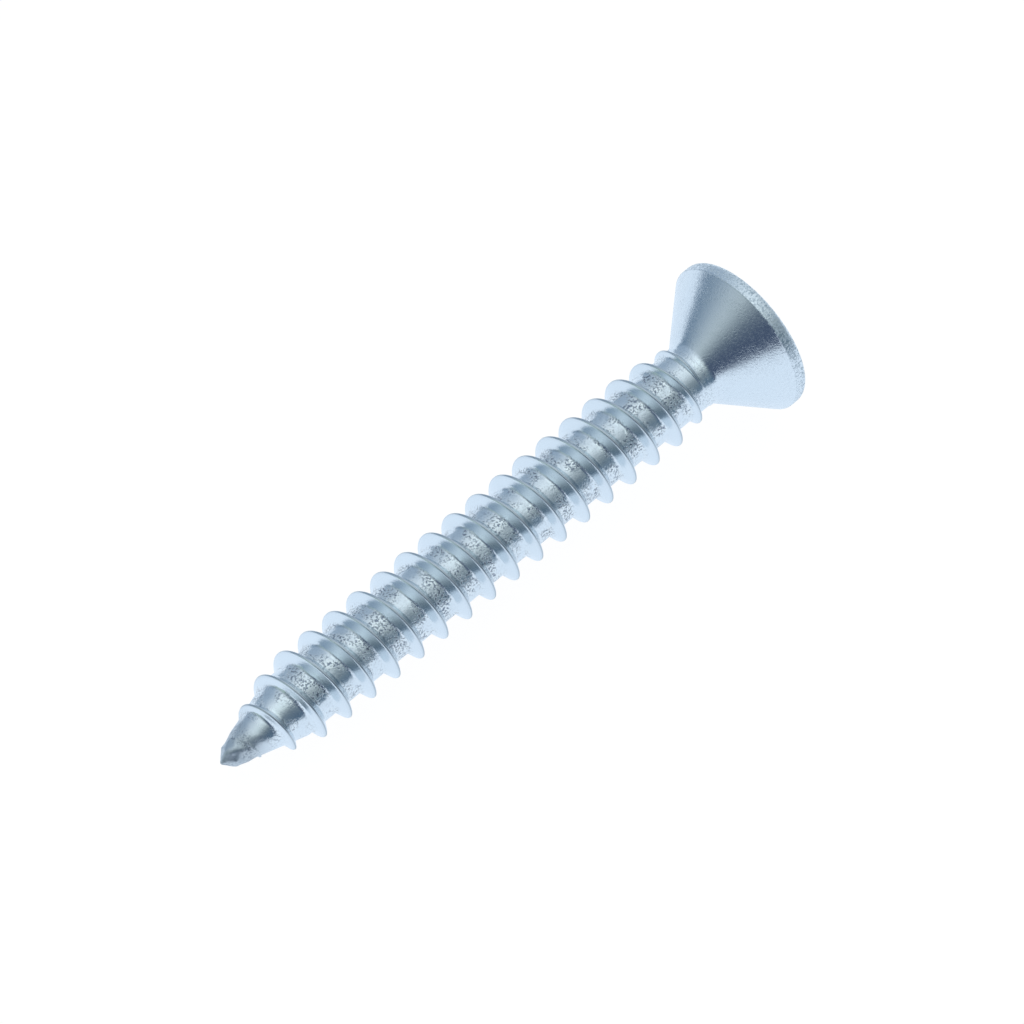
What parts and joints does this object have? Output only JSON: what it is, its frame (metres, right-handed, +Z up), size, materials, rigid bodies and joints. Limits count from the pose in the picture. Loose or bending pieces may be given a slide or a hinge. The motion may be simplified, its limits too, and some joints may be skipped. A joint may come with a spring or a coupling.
{
  "type": "countersunk self-tapping screw",
  "caption": "Countersunk self-tapping screw with a coarse thread up to its head, a cone point and a cross recess, lying on its side.",
  "frame": {"origin": "on the surface that the screw lies on, under the middle of its length", "axes": "+X along the screw from its tip to its head, +Z up, with the screw lying on its head's rim and a thread crest"},
  "size_m": [0.0314, 0.0074, 0.0075],
  "materials": {
    "zinc_plated_steel": "bright zinc plate with a faint blue passivation, smooth on the thread flanks and finely pitted on the core and head"
  },
  "bodies": {
    "root": {"screw": "zinc_plated_steel"}
  },
  "joints": []
}
